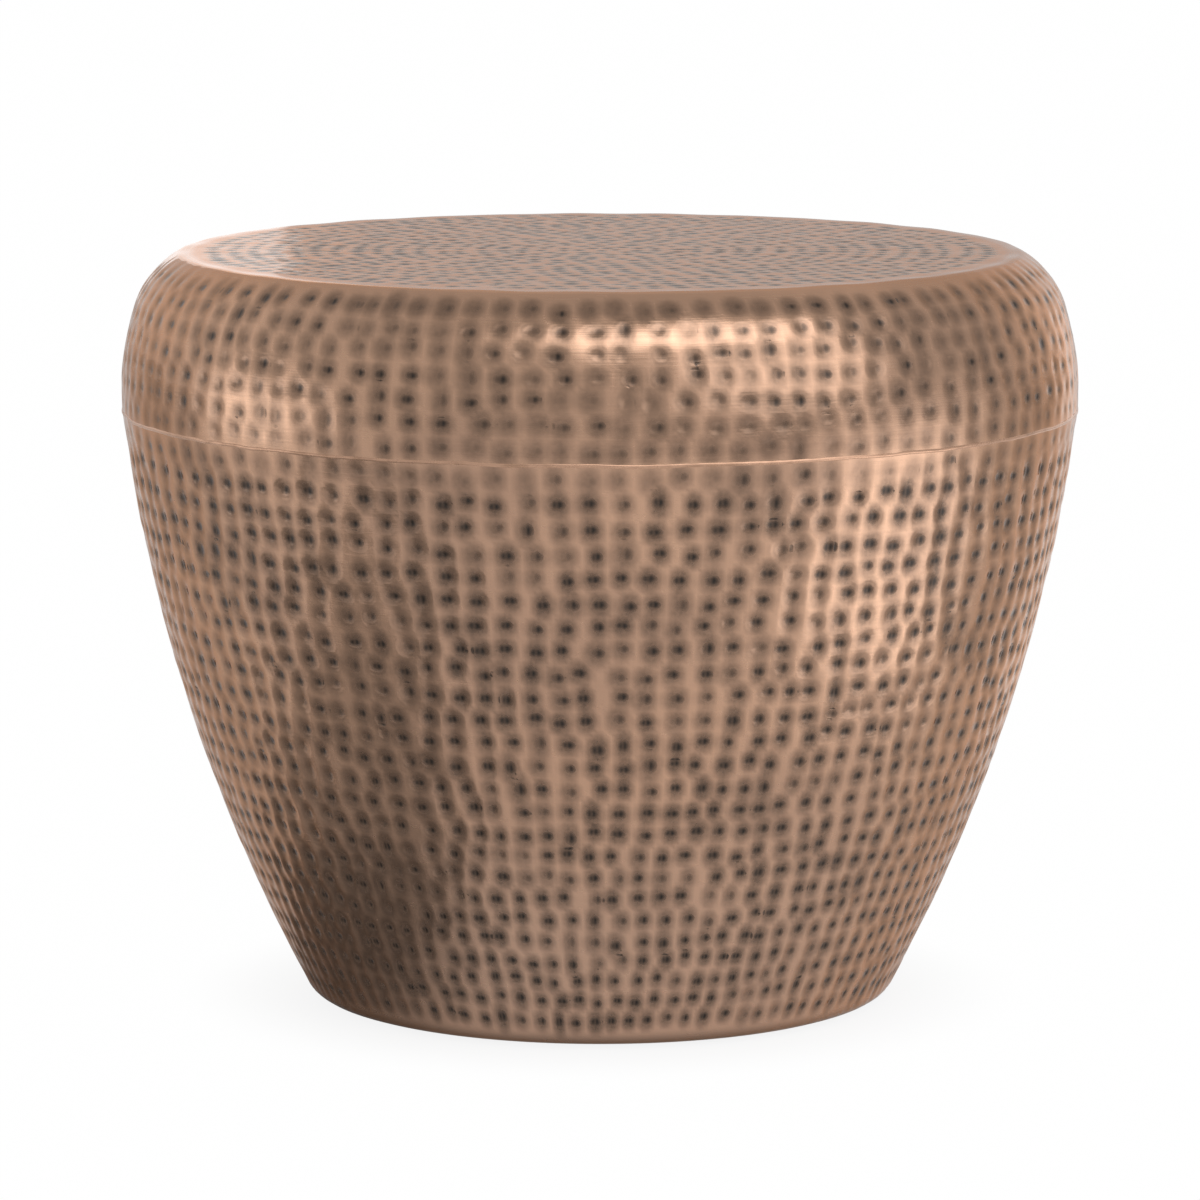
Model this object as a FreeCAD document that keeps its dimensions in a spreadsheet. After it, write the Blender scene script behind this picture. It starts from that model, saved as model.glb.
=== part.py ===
"""Drum side table in hammered sheet metal.

Two spun shells are butt welded at a seam just below the widest line. A ring inside the foot of the
drum carries a screwed base plate on four rubber feet. Millimetres, +Z up, origin on the floor at the
centre of the base, front towards -Y.
"""
import FreeCAD, Part
import math
import os

import Sketcher

SIZES = {
    # overall form
    "overall_height": 458.0,
    "widest_radius": 291.5,
    "waist_radius": 164.0,
    "shoulder_radius": 55.0,
    "crease_radius": 9.0,
    "shoulder_start_angle": 18.1,
    "shoulder_end_angle": 61.5,
    "wall_radius": 1017.0,
    "wall_start_angle": 6.8,
    "base_corner_radius": 14.0,
    "base_lip_width": 8.0,
    "floor_gap": 2.0,
    "shell_wall": 1.6,
    # seam between the shells
    "seam_drop": 12.2,
    "weld_groove_depth": 1.0,
    "weld_half_width": 1.2,
    "weld_crown": 0.4,
    "weld_crown_half_width": 0.5,
    "backing_half_height": 15.0,
    "backing_wall": 1.5,
    # nested curved pieces stand this far apart
    "seat_gap": 0.2,
    # hat-section bars under the top
    "bar_crown_width": 26.0,
    "bar_flange_width": 12.0,
    "bar_height": 14.0,
    "bar_wall": 1.5,
    "bar_end_margin": 13.0,
    "bar_butt_gap": 0.5,
    # ring and plate that close the base
    "ring_wall": 2.0,
    "ring_skirt_height": 24.0,
    "ring_inner_margin": 11.0,
    "plate_wall": 1.5,
    "plate_clearance": 2.5,
    # feet
    "foot_edge_margin": 1.2,
    "foot_top_radius": 16.0,
    "foot_sole_radius": 14.0,
    "foot_sole_round": 1.5,
    "foot_recess_clearance": 0.5,
    "screw_floor_clearance": 2.5,
    # screws, washers and nuts
    "screw_radius": 2.5,
    "screw_head_radius": 4.75,
    "screw_head_height": 3.3,
    "screw_head_round": 1.0,
    "screw_tip_past_nut": 1.5,
    "socket_width": 3.0,
    "socket_depth": 1.8,
    "hole_clearance": 0.25,
    "thread_clearance": 0.05,
    "washer_radius": 7.5,
    "washer_wall": 1.2,
    "nut_half_width": 4.0,
    "nut_height": 4.0,
}
FULL_TURN = 360.0
NUT_SIDES = 6
# Counted from the rear right foot, a screw into the ring stands midway between two feet.
FOOT_NAMES = ["foot_rear_right", "foot_rear_left", "foot_front_left", "foot_front_right"]
FOOT_STEP = FULL_TURN / len(FOOT_NAMES)
FIRST_FOOT_ANGLE = FOOT_STEP / 2
NUT_COUNT = 2 * len(FOOT_NAMES)

doc = FreeCAD.newDocument("drum_side_table")
sheet = doc.addObject("Spreadsheet::Sheet", "sizes")
for row, (alias, number) in enumerate(SIZES.items(), start=1):
    sheet.set(f"A{row}", alias)
    sheet.set(f"B{row}", str(number))
    sheet.setAlias(f"B{row}", alias)
doc.recompute()


def cell(alias):
    """The expression that reads one named size from the sheet."""
    return f"sizes.{alias}"


def value(expression):
    """The number that an expression of named sizes gives now."""
    return float(sheet.evalExpression(expression))


# The waist, shoulder and crease arcs are tangent, so their turning angles give the height of the
# widest line under the top and the radius of the flat.
WAIST_CENTRE = f"({cell('widest_radius')} - {cell('waist_radius')})"
WAIST_STEP = f"({cell('waist_radius')} - {cell('shoulder_radius')})"
SHOULDER_STEP = f"({cell('shoulder_radius')} - {cell('crease_radius')})"
WIDEST_HEIGHT = (f"({cell('overall_height')} - {cell('crease_radius')}"
                 f" - {WAIST_STEP} * sin({cell('shoulder_start_angle')})"
                 f" - {SHOULDER_STEP} * sin({cell('shoulder_end_angle')}))")
TOP_FLAT_REACH = (f"({WAIST_CENTRE} + {WAIST_STEP} * cos({cell('shoulder_start_angle')})"
                  f" + {SHOULDER_STEP} * cos({cell('shoulder_end_angle')}))")
SEAM_HEIGHT = f"({WIDEST_HEIGHT} - {cell('seam_drop')})"


def waist_reach(height, inset="0"):
    """Radius of the waist arc at a height, moved in from the outer face by an inset."""
    rise = f"({height} - {WIDEST_HEIGHT})"
    return f"({WAIST_CENTRE} + sqrt(({cell('waist_radius')} - {inset})^2 - {rise}^2))"


# The long wall arc starts on the seam at its own angle, which places its centre.
SEAM_REACH = waist_reach(SEAM_HEIGHT)
WALL_CENTRE = f"({SEAM_REACH} - {cell('wall_radius')} * cos({cell('wall_start_angle')}))"
WALL_CENTRE_HEIGHT = f"({SEAM_HEIGHT} + {cell('wall_radius')} * sin({cell('wall_start_angle')}))"


def wall_reach(height, inset="0"):
    """Radius of the long wall arc at a height, moved in from the outer face by an inset."""
    drop = f"({WALL_CENTRE_HEIGHT} - {height})"
    return f"({WALL_CENTRE} + sqrt(({cell('wall_radius')} - {inset})^2 - {drop}^2))"


# The base corner is tangent to the wall arc and to the flat of the lip.
CORNER_HEIGHT = f"({cell('floor_gap')} + {cell('base_corner_radius')})"
CORNER_REACH = wall_reach(CORNER_HEIGHT, cell("base_corner_radius"))
LIP_REACH = f"({CORNER_REACH} - {cell('base_lip_width')})"
PLATE_REACH = f"({LIP_REACH} - {cell('plate_clearance')})"
FOOT_CIRCLE = f"({PLATE_REACH} - {cell('foot_edge_margin')} - {cell('foot_top_radius')})"
# The ring's flange lies level with the corner's centre, where the wall arc has already begun.
RING_HEIGHT = CORNER_HEIGHT
PLATE_UNDERSIDE = f"({RING_HEIGHT} - {cell('plate_wall')})"
RING_TOP = f"({RING_HEIGHT} + {cell('ring_wall')})"
NUT_TOP = f"({RING_TOP} + {cell('nut_height')})"
SCREW_TIP = f"({NUT_TOP} + {cell('screw_tip_past_nut')})"
CLEAR_HOLE = f"({cell('screw_radius')} + {cell('hole_clearance')})"
TAPPED_HOLE = f"({cell('screw_radius')} + {cell('thread_clearance')})"
WASHER_UNDERSIDE = f"({cell('screw_floor_clearance')} + {cell('screw_head_height')})"
RECESS_DEPTH = f"({WASHER_UNDERSIDE} + {cell('washer_wall')})"
RECESS_REACH = f"({cell('washer_radius')} + {cell('foot_recess_clearance')})"
UNDER_TOP = f"({cell('overall_height')} - {cell('shell_wall')})"


def point(x, y):
    return FreeCAD.Vector(x, y, 0)


def new_body(label):
    body = doc.addObject("PartDesign::Body", label)
    body.Label = label
    return body


def origin_feature(body, role):
    return [item for item in body.Origin.OriginFeatures if item.Role == role][0]


def new_sketch(body, name, plane):
    sketch = body.newObject("Sketcher::SketchObject", name)
    sketch.AttachmentSupport = [(origin_feature(body, plane), "")]
    sketch.MapMode = "FlatFace"
    return sketch


def bind(sketch, kind, places, expression):
    """Adds a sized constraint and ties it to an expression of named sizes."""
    index = sketch.addConstraint(Sketcher.Constraint(kind, *places, value(expression)))
    sketch.setExpression(f"Constraints[{index}]", expression)


def pin(sketch, geometry, vertex, across=None, up=None):
    """Holds a point of a sketch at named distances from the sketch's origin."""
    for kind, axis, expression in (("DistanceX", -2, across), ("DistanceY", -1, up)):
        if expression is None:
            continue
        number = value(expression)
        if number == 0:
            sketch.addConstraint(Sketcher.Constraint("PointOnObject", geometry, vertex, axis))
        elif number > 0:
            bind(sketch, kind, (-1, 1, geometry, vertex), expression)
        else:
            bind(sketch, kind, (geometry, vertex, -1, 1), f"-({expression})")


def add_line(sketch, start, end):
    return sketch.addGeometry(Part.LineSegment(point(*start), point(*end)))


def add_arc(sketch, centre, radius, start_angle, end_angle):
    circle = Part.Circle(point(*centre), FreeCAD.Vector(0, 0, 1), radius)
    return sketch.addGeometry(Part.ArcOfCircle(circle, start_angle, end_angle))


def join(sketch, first, first_vertex, second, second_vertex, kind="Coincident"):
    sketch.addConstraint(Sketcher.Constraint(kind, first, first_vertex, second, second_vertex))


def add_outline(sketch, corners):
    """A closed outline of straight edges through corners given as expressions."""
    spots = [(value(across), value(up)) for across, up in corners]
    edges = [add_line(sketch, spot, spots[(index + 1) % len(spots)]) for index, spot in enumerate(spots)]
    for index, edge in enumerate(edges):
        join(sketch, edge, 2, edges[(index + 1) % len(edges)], 1)
    for edge, (across, up) in zip(edges, corners):
        pin(sketch, edge, 1, across, up)


def add_axis(sketch, across, low, high):
    """An upright construction line that a profile is turned about."""
    axis = add_line(sketch, (value(across), value(low)), (value(across), value(high)))
    sketch.setConstruction(axis, True)
    pin(sketch, axis, 1, across, low)
    pin(sketch, axis, 2, across, high)


def add_circle(sketch, across, radius):
    circle = Part.Circle(point(value(across), 0), FreeCAD.Vector(0, 0, 1), value(radius))
    index = sketch.addGeometry(circle)
    pin(sketch, index, 3, across, "0")
    bind(sketch, "Radius", (index,), radius)


def turn(body, sketch, axis="V_Axis"):
    revolution = body.newObject("PartDesign::Revolution", f"{body.Label}_turn")
    revolution.Profile = (sketch, [""])
    revolution.ReferenceAxis = (sketch, [axis])
    revolution.Angle = FULL_TURN
    return revolution


def pad(body, sketch, length):
    feature = body.newObject("PartDesign::Pad", f"{body.Label}_pad")
    feature.Profile = sketch
    feature.setExpression("Length", length)
    return feature


def drill(body, sketch):
    """Cuts a sketch upwards right through the body."""
    pocket = body.newObject("PartDesign::Pocket", f"{body.Label}_holes")
    pocket.Profile = sketch
    pocket.Type = "ThroughAll"
    pocket.Reversed = True
    return pocket


def ring_of(body, features, count):
    """Repeats features evenly round the upright axis."""
    pattern = body.newObject("PartDesign::PolarPattern", f"{body.Label}_ring")
    pattern.Originals = features
    pattern.Axis = (origin_feature(body, "Z_Axis"), [""])
    pattern.Angle = FULL_TURN
    pattern.Occurrences = count
    body.Tip = pattern


def lift(body, height):
    body.setExpression("Placement.Base.z", height)


def heading(start, end):
    return math.atan2(end[1] - start[1], end[0] - start[0])


def make_top_shell():
    """Flat top, crease, shoulder and waist down to the bevelled edge at the seam."""
    body = new_body("top_shell")
    sketch = new_sketch(body, "top_shell_profile", "XZ_Plane")
    size = {alias: value(cell(alias)) for alias in SIZES}
    wall = size["shell_wall"]
    waist = (value(WAIST_CENTRE), value(WIDEST_HEIGHT))
    crease = (value(TOP_FLAT_REACH), size["overall_height"] - size["crease_radius"])
    waist_angle = math.radians(size["shoulder_start_angle"])
    crease_angle = math.radians(size["shoulder_end_angle"])
    shoulder = (waist[0] + value(WAIST_STEP) * math.cos(waist_angle),
                waist[1] + value(WAIST_STEP) * math.sin(waist_angle))
    bevel_top = f"({SEAM_HEIGHT} + {cell('weld_half_width')})"
    root_reach = f"({SEAM_REACH} - {cell('weld_groove_depth')})"
    bevel_spot = (value(waist_reach(bevel_top)), value(bevel_top))
    root_spot = (value(root_reach), value(SEAM_HEIGHT))
    inner_spot = (value(waist_reach(SEAM_HEIGHT, cell("shell_wall"))), value(SEAM_HEIGHT))
    upright = math.pi / 2

    top = add_line(sketch, (0, size["overall_height"]), (crease[0], size["overall_height"]))
    crease_arc = add_arc(sketch, crease, size["crease_radius"], crease_angle, upright)
    shoulder_arc = add_arc(sketch, shoulder, size["shoulder_radius"], waist_angle, crease_angle)
    waist_arc = add_arc(sketch, waist, size["waist_radius"], heading(waist, bevel_spot), waist_angle)
    bevel = add_line(sketch, bevel_spot, root_spot)
    root = add_line(sketch, root_spot, inner_spot)
    inner_waist = add_arc(sketch, waist, size["waist_radius"] - wall, heading(waist, inner_spot), waist_angle)
    inner_shoulder = add_arc(sketch, shoulder, size["shoulder_radius"] - wall, waist_angle, crease_angle)
    inner_crease = add_arc(sketch, crease, size["crease_radius"] - wall, crease_angle, upright)
    inner_top = add_line(sketch, (crease[0], value(UNDER_TOP)), (0, value(UNDER_TOP)))
    centre_edge = add_line(sketch, (0, value(UNDER_TOP)), (0, size["overall_height"]))

    pin(sketch, top, 1, "0", cell("overall_height"))
    pin(sketch, top, 2, TOP_FLAT_REACH, None)
    sketch.addConstraint(Sketcher.Constraint("Horizontal", top))
    for arc, alias in ((crease_arc, "crease_radius"), (shoulder_arc, "shoulder_radius"),
                       (waist_arc, "waist_radius")):
        bind(sketch, "Radius", (arc,), cell(alias))
    pin(sketch, waist_arc, 3, WAIST_CENTRE, WIDEST_HEIGHT)
    join(sketch, top, 2, crease_arc, 2, "Tangent")
    join(sketch, crease_arc, 1, shoulder_arc, 2, "Tangent")
    join(sketch, shoulder_arc, 1, waist_arc, 2, "Tangent")
    pin(sketch, waist_arc, 1, None, bevel_top)
    join(sketch, waist_arc, 1, bevel, 1)
    pin(sketch, bevel, 2, root_reach, SEAM_HEIGHT)
    join(sketch, bevel, 2, root, 1)
    sketch.addConstraint(Sketcher.Constraint("Horizontal", root))
    join(sketch, root, 2, inner_waist, 1)
    for inner, outer in ((inner_waist, waist_arc), (inner_shoulder, shoulder_arc),
                         (inner_crease, crease_arc)):
        join(sketch, inner, 3, outer, 3)
    join(sketch, inner_waist, 2, inner_shoulder, 1, "Tangent")
    join(sketch, inner_shoulder, 2, inner_crease, 1, "Tangent")
    join(sketch, inner_crease, 2, inner_top, 1, "Tangent")
    sketch.addConstraint(Sketcher.Constraint("Horizontal", inner_top))
    pin(sketch, inner_top, 2, "0", UNDER_TOP)
    join(sketch, inner_top, 2, centre_edge, 1)
    join(sketch, centre_edge, 2, top, 1)
    turn(body, sketch)
    return body


def make_lower_shell():
    """Long tapered wall from the seam to the base corner and its turned-in lip."""
    body = new_body("lower_shell")
    sketch = new_sketch(body, "lower_shell_profile", "XZ_Plane")
    size = {alias: value(cell(alias)) for alias in SIZES}
    wall = size["shell_wall"]
    centre = (value(WALL_CENTRE), value(WALL_CENTRE_HEIGHT))
    corner = (value(CORNER_REACH), value(CORNER_HEIGHT))
    bevel_low = f"({SEAM_HEIGHT} - {cell('weld_half_width')})"
    root_reach = f"({SEAM_REACH} - {cell('weld_groove_depth')})"
    lip_top = f"({cell('floor_gap')} + {cell('shell_wall')})"
    bevel_spot = (value(wall_reach(bevel_low)), value(bevel_low))
    root_spot = (value(root_reach), value(SEAM_HEIGHT))
    inner_spot = (value(wall_reach(SEAM_HEIGHT, cell("shell_wall"))), value(SEAM_HEIGHT))
    corner_angle = heading(centre, corner)
    downward = -math.pi / 2
    lip_low_spot = (value(LIP_REACH), size["floor_gap"])
    lip_top_spot = (value(LIP_REACH), value(lip_top))

    wall_arc = add_arc(sketch, centre, size["wall_radius"], corner_angle, heading(centre, bevel_spot))
    corner_arc = add_arc(sketch, corner, size["base_corner_radius"], downward, corner_angle)
    lip_low = add_line(sketch, (corner[0], size["floor_gap"]), lip_low_spot)
    lip_end = add_line(sketch, lip_low_spot, lip_top_spot)
    lip_high = add_line(sketch, lip_top_spot, (corner[0], value(lip_top)))
    inner_corner = add_arc(sketch, corner, size["base_corner_radius"] - wall, downward, corner_angle)
    inner_wall = add_arc(sketch, centre, size["wall_radius"] - wall, corner_angle, heading(centre, inner_spot))
    root = add_line(sketch, inner_spot, root_spot)
    bevel = add_line(sketch, root_spot, bevel_spot)

    pin(sketch, wall_arc, 3, WALL_CENTRE, WALL_CENTRE_HEIGHT)
    bind(sketch, "Radius", (wall_arc,), cell("wall_radius"))
    bind(sketch, "Radius", (corner_arc,), cell("base_corner_radius"))
    pin(sketch, wall_arc, 2, None, bevel_low)
    join(sketch, wall_arc, 1, corner_arc, 2, "Tangent")
    join(sketch, corner_arc, 1, lip_low, 1, "Tangent")
    sketch.addConstraint(Sketcher.Constraint("Horizontal", lip_low))
    pin(sketch, lip_low, 2, LIP_REACH, cell("floor_gap"))
    join(sketch, lip_low, 2, lip_end, 1)
    sketch.addConstraint(Sketcher.Constraint("Vertical", lip_end))
    join(sketch, lip_end, 2, lip_high, 1)
    sketch.addConstraint(Sketcher.Constraint("Horizontal", lip_high))
    bind(sketch, "DistanceY", (lip_end, 1, lip_end, 2), cell("shell_wall"))
    join(sketch, inner_corner, 3, corner_arc, 3)
    join(sketch, inner_wall, 3, wall_arc, 3)
    join(sketch, lip_high, 2, inner_corner, 1, "Tangent")
    join(sketch, inner_corner, 2, inner_wall, 1, "Tangent")
    join(sketch, inner_wall, 2, root, 1)
    sketch.addConstraint(Sketcher.Constraint("Horizontal", root))
    pin(sketch, root, 2, root_reach, SEAM_HEIGHT)
    join(sketch, root, 2, bevel, 1)
    join(sketch, bevel, 2, wall_arc, 2)
    turn(body, sketch)
    return body


def make_seam_weld():
    """Bead that fills the bevels at the seam and, dressed flat on its crown, stands proud of the wall."""
    body = new_body("seam_weld")
    sketch = new_sketch(body, "seam_weld_profile", "XZ_Plane")
    high = f"({SEAM_HEIGHT} + {cell('weld_half_width')})"
    low = f"({SEAM_HEIGHT} - {cell('weld_half_width')})"
    crown_reach = f"({SEAM_REACH} + {cell('weld_crown')})"
    add_outline(sketch, [
        (f"({SEAM_REACH} - {cell('weld_groove_depth')})", SEAM_HEIGHT),
        (wall_reach(low), low),
        (crown_reach, f"({SEAM_HEIGHT} - {cell('weld_crown_half_width')})"),
        (crown_reach, f"({SEAM_HEIGHT} + {cell('weld_crown_half_width')})"),
        (waist_reach(high), high),
    ])
    turn(body, sketch)
    return body


def make_seam_backing_ring():
    """Rolled strip behind the seam that laps both shells."""
    body = new_body("seam_backing_ring")
    sketch = new_sketch(body, "seam_backing_ring_profile", "XZ_Plane")
    inset = f"({cell('shell_wall')} + {cell('seat_gap')})"
    high = f"({SEAM_HEIGHT} + {cell('backing_half_height')})"
    low = f"({SEAM_HEIGHT} - {cell('backing_half_height')})"
    outer = [
        (wall_reach(low, inset), low),
        (wall_reach(SEAM_HEIGHT, inset), SEAM_HEIGHT),
        (waist_reach(high, inset), high),
    ]
    inner = [(f"({across} - {cell('backing_wall')})", up) for across, up in reversed(outer)]
    add_outline(sketch, outer + inner)
    turn(body, sketch)
    return body


def hat_outline():
    """Section of a stiffening bar, flanges up against the underside of the top."""
    half_crown = f"({cell('bar_crown_width')} / 2)"
    half_width = f"({half_crown} + {cell('bar_flange_width')})"
    inner_half = f"({half_crown} - {cell('bar_wall')})"
    under_flange = f"(-{cell('bar_wall')})"
    crown_top = f"({cell('bar_wall')} - {cell('bar_height')})"
    crown_low = f"(-{cell('bar_height')})"
    right = [
        (inner_half, "0"),
        (half_width, "0"),
        (half_width, under_flange),
        (half_crown, under_flange),
        (half_crown, crown_low),
    ]
    left = [(f"(-{across})", up) for across, up in reversed(right)]
    return right + left + [(f"(-{inner_half})", crown_top), (inner_half, crown_top)]


def make_stiffeners():
    """One bar right across under the top, and a half bar butted to each side of it."""
    bar_reach = f"({TOP_FLAT_REACH} - {cell('bar_end_margin')})"
    half_width = f"({cell('bar_crown_width')} / 2 + {cell('bar_flange_width')})"
    butt_start = f"({half_width} + {cell('bar_butt_gap')})"

    main = new_body("top_stiffener_main")
    sketch = new_sketch(main, "top_stiffener_main_section", "YZ_Plane")
    add_outline(sketch, hat_outline())
    bar = pad(main, sketch, f"2 * {bar_reach}")
    bar.SideType = "Symmetric"
    lift(main, UNDER_TOP)
    halves = []
    for label, reversed_way, sign in (("top_stiffener_front", False, "-"), ("top_stiffener_rear", True, "")):
        half = new_body(label)
        sketch = new_sketch(half, f"{label}_section", "XZ_Plane")
        add_outline(sketch, hat_outline())
        bar = pad(half, sketch, f"{bar_reach} - {butt_start}")
        bar.Reversed = reversed_way
        half.setExpression("Placement.Base.y", f"{sign}{butt_start}")
        lift(half, UNDER_TOP)
        halves.append(half)
    return [main] + halves


def make_base_ring():
    """Ring with a skirt that nests in the foot of the drum and a flange that takes the plate."""
    body = new_body("base_ring")
    sketch = new_sketch(body, "base_ring_profile", "XZ_Plane")
    inset = f"({cell('shell_wall')} + {cell('seat_gap')})"
    skirt_inset = f"({inset} + {cell('ring_wall')})"
    skirt_top = f"({RING_HEIGHT} + {cell('ring_skirt_height')})"
    flange_reach = f"({FOOT_CIRCLE} - {cell('ring_inner_margin')})"
    add_outline(sketch, [
        (flange_reach, RING_HEIGHT),
        (wall_reach(RING_HEIGHT, inset), RING_HEIGHT),
        (wall_reach(skirt_top, inset), skirt_top),
        (wall_reach(skirt_top, skirt_inset), skirt_top),
        (wall_reach(RING_TOP, skirt_inset), RING_TOP),
        (flange_reach, RING_TOP),
    ])
    turn(body, sketch)
    holes = new_sketch(body, "base_ring_hole", "XY_Plane")
    add_circle(holes, FOOT_CIRCLE, CLEAR_HOLE)
    ring_of(body, [drill(body, holes)], NUT_COUNT)
    return body


def make_base_plate():
    """Flat disc that goes in through the lip and is screwed up against the ring."""
    body = new_body("base_plate")
    sketch = new_sketch(body, "base_plate_outline", "XY_Plane")
    add_circle(sketch, "0", PLATE_REACH)
    pad(body, sketch, cell("plate_wall"))
    holes = new_sketch(body, "base_plate_hole", "XY_Plane")
    add_circle(holes, FOOT_CIRCLE, CLEAR_HOLE)
    ring_of(body, [drill(body, holes)], NUT_COUNT)
    lift(body, PLATE_UNDERSIDE)
    return body


def make_weld_nuts():
    """Hex nuts on top of the ring, one over each hole."""
    body = new_body("weld_nuts")
    sketch = new_sketch(body, "weld_nut_outline", "XY_Plane")
    corner_reach = f"({cell('nut_half_width')} / cos(180 / {NUT_SIDES}))"
    angles = [FULL_TURN * side / NUT_SIDES for side in range(NUT_SIDES)]
    add_outline(sketch, [(f"{FOOT_CIRCLE} + {corner_reach} * cos({angle})",
                          f"{corner_reach} * sin({angle})") for angle in angles])
    add_circle(sketch, FOOT_CIRCLE, TAPPED_HOLE)
    ring_of(body, [pad(body, sketch, cell("nut_height"))], NUT_COUNT)
    lift(body, RING_TOP)
    return body


def make_screws(label, head_top):
    """Pan-head screws, heads down, turned about their own axes and set round the base."""
    body = new_body(label)
    sketch = new_sketch(body, f"{label}_profile", "XZ_Plane")
    axis = FOOT_CIRCLE
    head_reach = f"({axis} + {cell('screw_head_radius')})"
    shank_reach = f"({axis} + {cell('screw_radius')})"
    socket_reach = f"({axis} + {cell('socket_width')} / 2)"
    head_low = f"({head_top} - {cell('screw_head_height')})"
    socket_top = f"({head_low} + {cell('socket_depth')})"
    round_reach = f"({head_reach} - {cell('screw_head_round')})"
    round_height = f"({head_low} + {cell('screw_head_round')})"
    add_outline(sketch, [
        (axis, socket_top),
        (socket_reach, socket_top),
        (socket_reach, head_low),
        (round_reach, head_low),
        (head_reach, round_height),
        (head_reach, head_top),
        (shank_reach, head_top),
        (shank_reach, SCREW_TIP),
        (axis, SCREW_TIP),
    ])
    add_axis(sketch, axis, head_low, SCREW_TIP)
    ring_of(body, [turn(body, sketch, "Axis0")], len(FOOT_NAMES))
    return body


def make_foot_washers():
    body = new_body("foot_washers")
    sketch = new_sketch(body, "foot_washer_outline", "XY_Plane")
    add_circle(sketch, FOOT_CIRCLE, cell("washer_radius"))
    add_circle(sketch, FOOT_CIRCLE, CLEAR_HOLE)
    ring_of(body, [pad(body, sketch, cell("washer_wall"))], len(FOOT_NAMES))
    lift(body, WASHER_UNDERSIDE)
    return body


def make_foot(label, turned):
    """Tapered rubber foot with a recess for its washer and screw."""
    body = new_body(label)
    sketch = new_sketch(body, f"{label}_profile", "XZ_Plane")
    round_reach = f"({cell('foot_sole_radius')} - {cell('foot_sole_round')})"
    add_outline(sketch, [
        (RECESS_REACH, "0"),
        (round_reach, "0"),
        (cell("foot_sole_radius"), cell("foot_sole_round")),
        (cell("foot_top_radius"), PLATE_UNDERSIDE),
        (CLEAR_HOLE, PLATE_UNDERSIDE),
        (CLEAR_HOLE, RECESS_DEPTH),
        (RECESS_REACH, RECESS_DEPTH),
    ])
    turn(body, sketch)
    body.setExpression("Placement.Base.x", f"{FOOT_CIRCLE} * cos({turned})")
    body.setExpression("Placement.Base.y", f"{FOOT_CIRCLE} * sin({turned})")
    return body


subparts = [make_top_shell(), make_lower_shell(), make_seam_weld(), make_seam_backing_ring()]
subparts += make_stiffeners()
subparts += [make_base_ring(), make_base_plate(), make_weld_nuts()]
subparts.append(make_screws("plate_screws", PLATE_UNDERSIDE))
foot_screws = make_screws("foot_screws", WASHER_UNDERSIDE)
foot_washers = make_foot_washers()
for body in (foot_screws, foot_washers):
    body.Placement.Rotation = FreeCAD.Rotation(FreeCAD.Vector(0, 0, 1), FIRST_FOOT_ANGLE)
subparts += [foot_screws, foot_washers]
for number, name in enumerate(FOOT_NAMES):
    subparts.append(make_foot(name, FIRST_FOOT_ANGLE + number * FOOT_STEP))
doc.recompute()

for item in doc.Objects:
    if "Invalid" in item.State or "Error" in item.State:
        raise RuntimeError(f"{item.Label} did not build")
for body in subparts:
    if body.Shape.isNull() or not body.Shape.isValid():
        raise RuntimeError(f"{body.Label} has no valid shape")

os.makedirs("parts", exist_ok=True)
for body in subparts:
    body.Shape.exportStep(f"parts/{body.Label}.step")
    box = body.Shape.BoundBox
    print(f"{body.Label}: {len(body.Shape.Solids)} solid(s), {body.Shape.Volume:.0f} mm3,"
          f" z {box.ZMin:.2f} to {box.ZMax:.2f}, reach {box.XMax:.2f}")
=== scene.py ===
"""Drum side table in hammered sheet metal with a rubbed antique copper finish.

The file follows the table as it is put together: the two hammered shells, the weld between them, the
parts inside, the base and its feet, and then the studio round it. Metres, +Z up, front towards -Y.
"""
import math

import bpy
import numpy as np
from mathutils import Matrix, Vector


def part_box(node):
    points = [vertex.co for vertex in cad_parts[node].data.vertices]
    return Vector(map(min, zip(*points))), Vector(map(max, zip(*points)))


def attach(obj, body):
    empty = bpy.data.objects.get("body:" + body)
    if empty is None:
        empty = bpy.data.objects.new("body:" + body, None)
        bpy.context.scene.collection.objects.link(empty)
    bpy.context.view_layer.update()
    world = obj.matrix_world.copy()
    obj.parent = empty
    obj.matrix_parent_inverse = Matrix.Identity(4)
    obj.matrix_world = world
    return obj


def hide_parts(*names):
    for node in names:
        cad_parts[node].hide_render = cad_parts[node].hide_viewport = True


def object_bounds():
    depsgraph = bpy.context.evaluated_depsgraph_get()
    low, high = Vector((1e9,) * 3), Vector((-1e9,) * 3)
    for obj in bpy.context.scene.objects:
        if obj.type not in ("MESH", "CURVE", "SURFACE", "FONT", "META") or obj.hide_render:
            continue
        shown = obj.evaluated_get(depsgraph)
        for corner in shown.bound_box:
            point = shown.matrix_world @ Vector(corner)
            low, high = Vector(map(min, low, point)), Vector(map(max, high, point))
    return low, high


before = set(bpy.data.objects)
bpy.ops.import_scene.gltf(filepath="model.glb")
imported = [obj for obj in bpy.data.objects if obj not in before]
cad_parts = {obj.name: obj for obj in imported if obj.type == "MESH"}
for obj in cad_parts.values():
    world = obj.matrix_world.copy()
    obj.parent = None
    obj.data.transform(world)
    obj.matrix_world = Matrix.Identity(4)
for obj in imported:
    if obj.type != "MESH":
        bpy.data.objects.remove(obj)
cad_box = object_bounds()


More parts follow.
